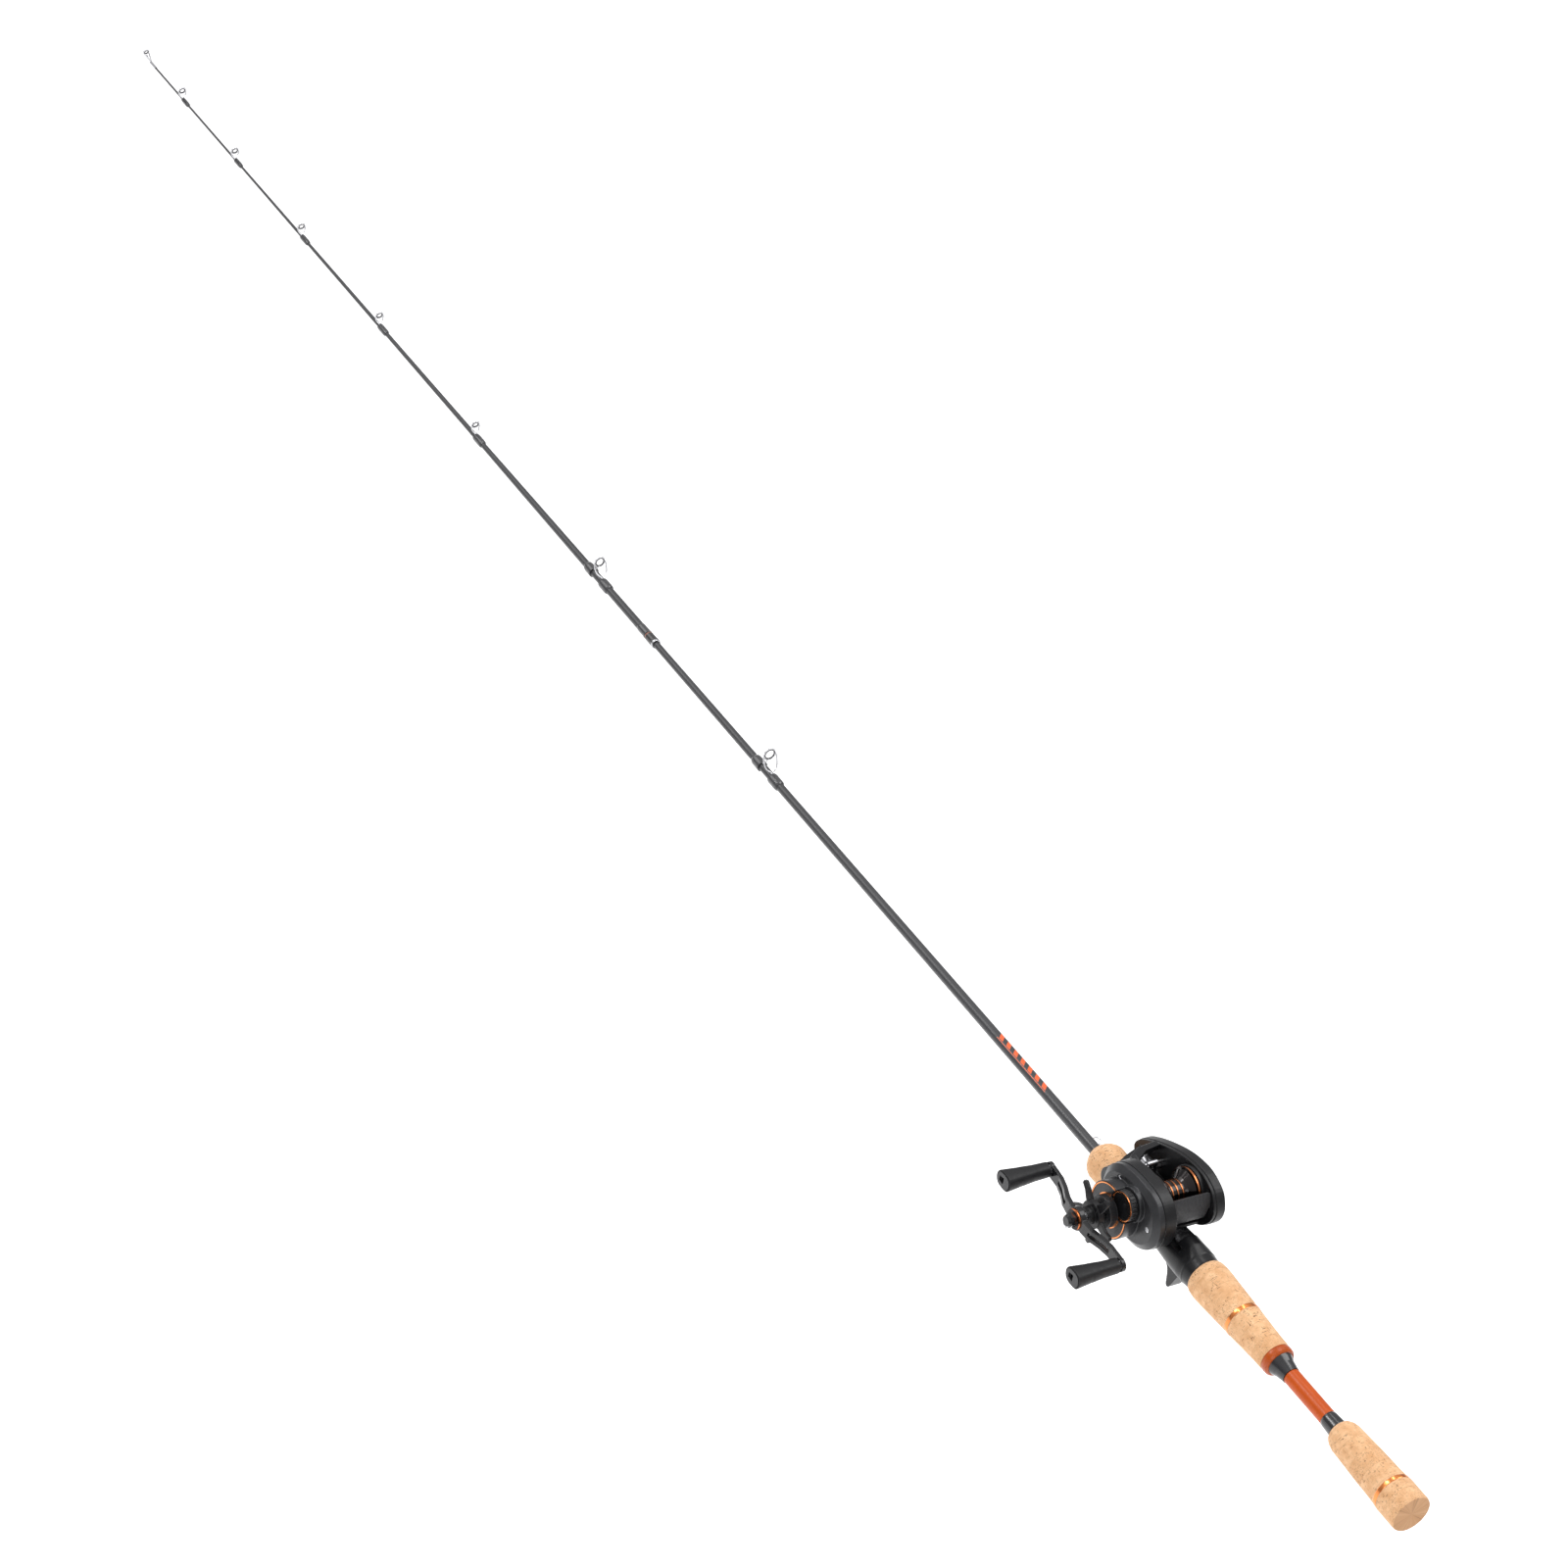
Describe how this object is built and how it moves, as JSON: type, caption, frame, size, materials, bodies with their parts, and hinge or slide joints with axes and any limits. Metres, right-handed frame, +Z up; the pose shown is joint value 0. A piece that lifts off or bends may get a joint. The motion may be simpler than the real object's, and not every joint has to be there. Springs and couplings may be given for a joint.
{
  "type": "casting fishing rod with low-profile reel",
  "caption": "Two-piece casting rod with cork grips, ring guides and a left-hand low-profile reel whose handle, spool, clutch bar, drag and level wind move.",
  "frame": {"origin": "centre of the butt end face, on the rod's axis", "axes": "+X along the rod to the tip, +Y to the handle side, +Z up, the side the reel and guides are on"},
  "size_m": [2.1008, 0.1298, 0.0807],
  "materials": {
    "cork": "fine cork grain",
    "copper": "copper-orange anodised",
    "orange": "gloss orange paint",
    "black_gloss": "gloss black",
    "black": "satin black",
    "graphite": "satin graphite paint",
    "blank": "clear-coated dark carbon",
    "steel": "satin",
    "chrome": "bright",
    "brass": "machined",
    "ceramic": "polished dark",
    "rubber": "soft touch",
    "epoxy": "clear epoxy over thread",
    "nylon": "moulded"
  },
  "bodies": {
    "rod_butt": {"butt_grip": "cork", "butt_trim_ring": "copper", "butt_check": "black_gloss", "orange_sleeve": "orange", "grip_cone": "black_gloss", "grip_end_ring": "copper", "rear_grip": "cork", "rear_grip_ring": "copper", "reel_seat": "black", "foregrip": "cork", "butt_blank": "blank", "hook_keeper": "chrome", "guide_1_frame": "chrome", "guide_1_ring": "ceramic", "butt_wraps": "epoxy", "reel_frame": "black", "reel_foot": "black", "gear_cover": "graphite", "cover_trim": "copper", "cover_screws": "steel", "palm_plate": "black", "spool_bearings": "steel", "one_way_bearing": "steel", "guide_rod": "steel"},
    "tip_section": {"ferrule_collar": "chrome", "tip_blank": "blank", "guide_2_frame": "chrome", "small_guide_frames": "chrome", "tip_wraps": "epoxy", "tip_top_frame": "chrome", "tip_guide_rings": "ceramic"},
    "hood": {"sliding_hood": "black"},
    "nut": {"lock_nut": "black"},
    "handle": {"drive_gear": "brass", "drive_shaft": "steel", "drag_washers": "steel", "handle_arm": "black_gloss", "handle_washer": "copper", "handle_nut": "black_gloss", "nut_retainer": "steel", "retainer_screw": "steel", "knob_posts": "steel"},
    "star": {"star_drag": "black"},
    "knob_front": {"knob_1": "rubber", "knob_cap_1": "graphite"},
    "knob_rear": {"knob_2": "rubber", "knob_cap_2": "graphite"},
    "spool_group": {"spool": "black_gloss", "spool_rings": "copper", "spool_shaft": "steel"},
    "pinion": {"pinion_gear": "brass"},
    "yoke": {"clutch_yoke": "steel"},
    "thumb": {"thumb_bar": "graphite"},
    "tension": {"tension_knob": "black", "tension_trim": "copper"},
    "brake": {"brake_dial": "graphite"},
    "worm": {"worm_shaft": "steel"},
    "idler": {"idler_gear": "nylon"},
    "level_wind": {"line_guide": "chrome", "line_guide_ring": "ceramic"}
  },
  "joints": [
    {"name": "tip_pull", "type": "slide", "parent": "rod_butt", "child": "tip_section", "axis": [1, 0, 0], "range_m": [0, 0.075]},
    {"name": "hood_slide", "type": "slide", "parent": "rod_butt", "child": "hood", "axis": [1, 0, 0], "range_m": [0, 0.0075]},
    {"name": "nut_turn", "type": "hinge", "parent": "hood", "child": "nut", "pos_m": [0.318, 0, 0], "axis": [1, 0, 0], "range_deg": [0, 1800]},
    {"name": "handle_turn", "type": "hinge", "parent": "rod_butt", "child": "handle", "pos_m": [0.2925, 0.05, 0.0196], "axis": [0, 1, 0], "continuous": true},
    {"name": "star_turn", "type": "hinge", "parent": "handle", "child": "star", "pos_m": [0.2925, 0.054, 0.0196], "axis": [0, 1, 0], "range_deg": [-360, 180]},
    {"name": "knob_1_spin", "type": "hinge", "parent": "handle", "child": "knob_front", "pos_m": [0.33725, 0.08, 0.02431], "axis": [0, 1, 0], "continuous": true},
    {"name": "knob_2_spin", "type": "hinge", "parent": "handle", "child": "knob_rear", "pos_m": [0.24774, 0.08, 0.0149], "axis": [0, 1, 0], "continuous": true},
    {"name": "spool_spin", "type": "hinge", "parent": "rod_butt", "child": "spool_group", "pos_m": [0.2815, 0, 0.0316], "axis": [0, 1, 0], "continuous": true},
    {"name": "thumb_press", "type": "hinge", "parent": "rod_butt", "child": "thumb", "pos_m": [0.2815, 0, 0.0316], "axis": [0, -1, 0], "range_deg": [0, 13]},
    {"name": "clutch_shift", "type": "slide", "parent": "rod_butt", "child": "yoke", "axis": [0, 1, 0], "range_m": [0, 0.0018]},
    {"name": "pinion_spin", "type": "hinge", "parent": "yoke", "child": "pinion", "pos_m": [0.2815, 0.023, 0.0316], "axis": [0, 1, 0], "continuous": true},
    {"name": "tension_turn", "type": "hinge", "parent": "rod_butt", "child": "tension", "pos_m": [0.2815, 0.037, 0.0316], "axis": [0, 1, 0], "range_deg": [-360, 180]},
    {"name": "brake_turn", "type": "hinge", "parent": "rod_butt", "child": "brake", "pos_m": [0.2815, -0.028, 0.0316], "axis": [0, 1, 0], "range_deg": [0, 270]},
    {"name": "worm_spin", "type": "hinge", "parent": "rod_butt", "child": "worm", "pos_m": [0.31606, 0, 0.0232], "axis": [0, 1, 0], "continuous": true},
    {"name": "idler_spin", "type": "hinge", "parent": "rod_butt", "child": "idler", "pos_m": [0.30548, 0.018, 0.02016], "axis": [0, 1, 0], "continuous": true},
    {"name": "level_wind_slide", "type": "slide", "parent": "rod_butt", "child": "level_wind", "axis": [0, 1, 0], "range_m": [-0.0056, 0.0158]}
  ],
  "couplings": [
    {"joint": "hood_slide", "follows": "nut_turn", "m_per_rad": 0.00023873},
    {"joint": "spool_spin", "follows": "handle_turn", "ratio": -6.1538},
    {"joint": "pinion_spin", "follows": "handle_turn", "ratio": -6.1538},
    {"joint": "idler_spin", "follows": "handle_turn", "ratio": -1.6},
    {"joint": "worm_spin", "follows": "handle_turn", "ratio": 1.3333},
    {"joint": "clutch_shift", "follows": "thumb_press", "m_per_rad": 0.0079333}
  ]
}
